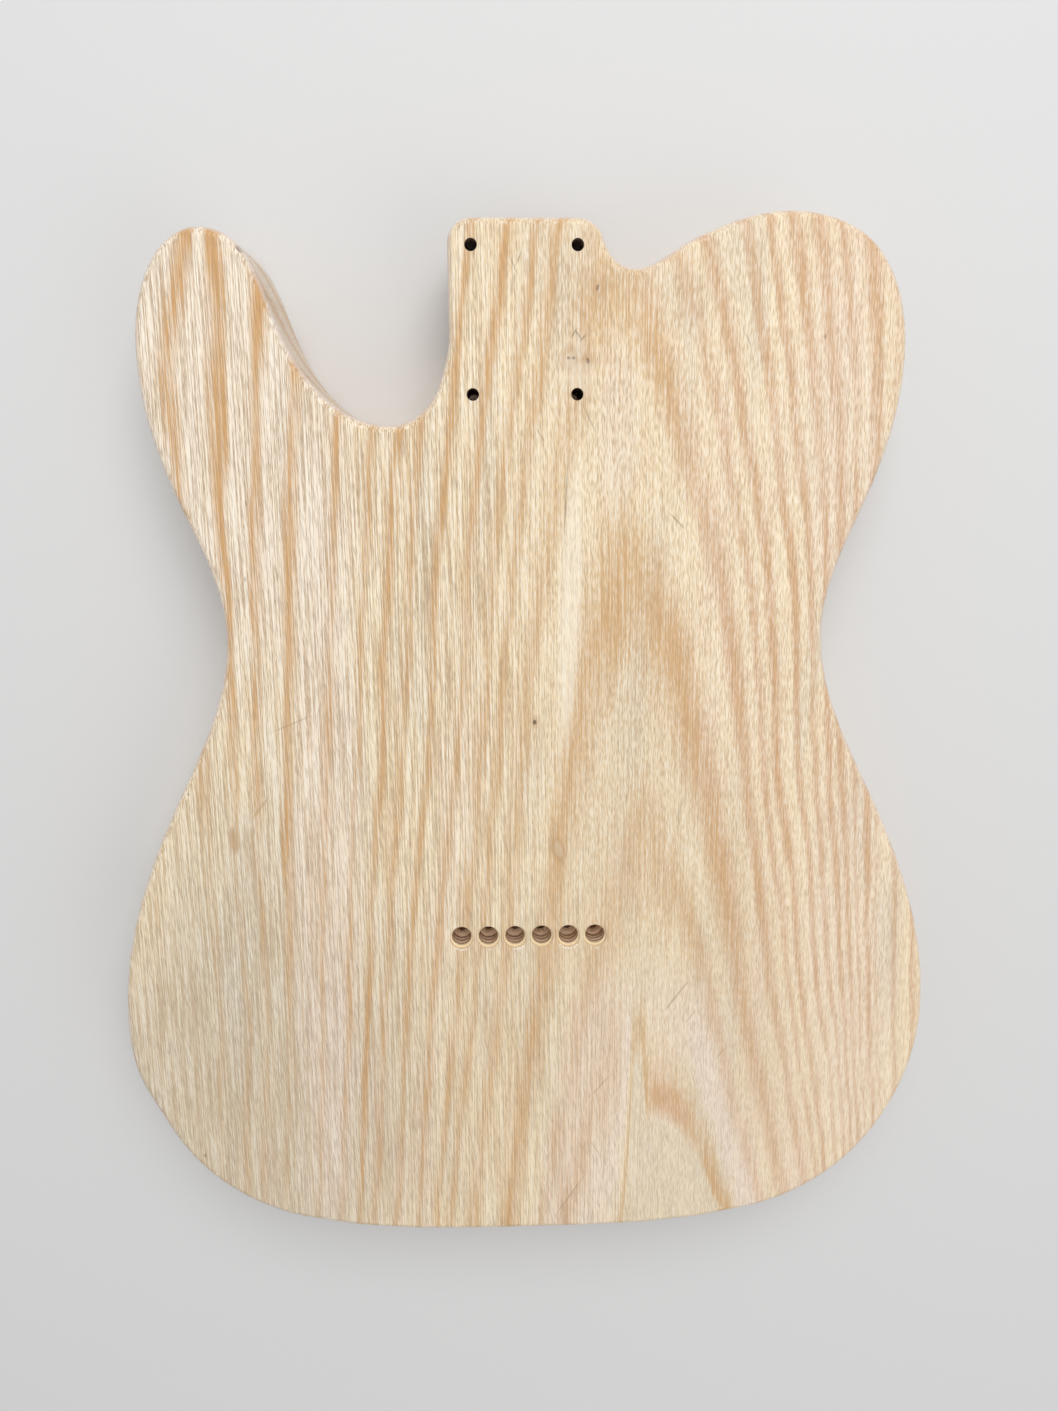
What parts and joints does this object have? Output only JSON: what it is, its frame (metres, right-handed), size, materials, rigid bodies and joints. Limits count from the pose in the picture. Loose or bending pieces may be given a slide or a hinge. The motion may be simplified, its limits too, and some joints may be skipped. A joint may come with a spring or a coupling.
{
  "type": "electric guitar body",
  "caption": "Bare solid ash electric guitar body with one cutaway, two boards glued edge to edge, string-through ferrule bores, neck pocket and front routs.",
  "frame": {"origin": "middle of the bounding box on the front face, which the body lies on", "axes": "+Z out of the back, +Y to the neck end, +X to the full shoulder, with the cutaway on -X"},
  "size_m": [0.3272, 0.4084, 0.0444],
  "materials": {
    "wide_board_ash": "bare sanded ash, flat sawn, with a cathedral figure, open pores and a dull surface",
    "narrow_board_ash": "bare sanded ash, nearly straight grained, with open pores and a dull surface",
    "wood_glue": "dried wood glue, a thin amber line scraped and sanded flush"
  },
  "bodies": {
    "root": {"wide_board": "wide_board_ash", "narrow_board": "narrow_board_ash", "glue_line": "wood_glue"}
  },
  "joints": []
}
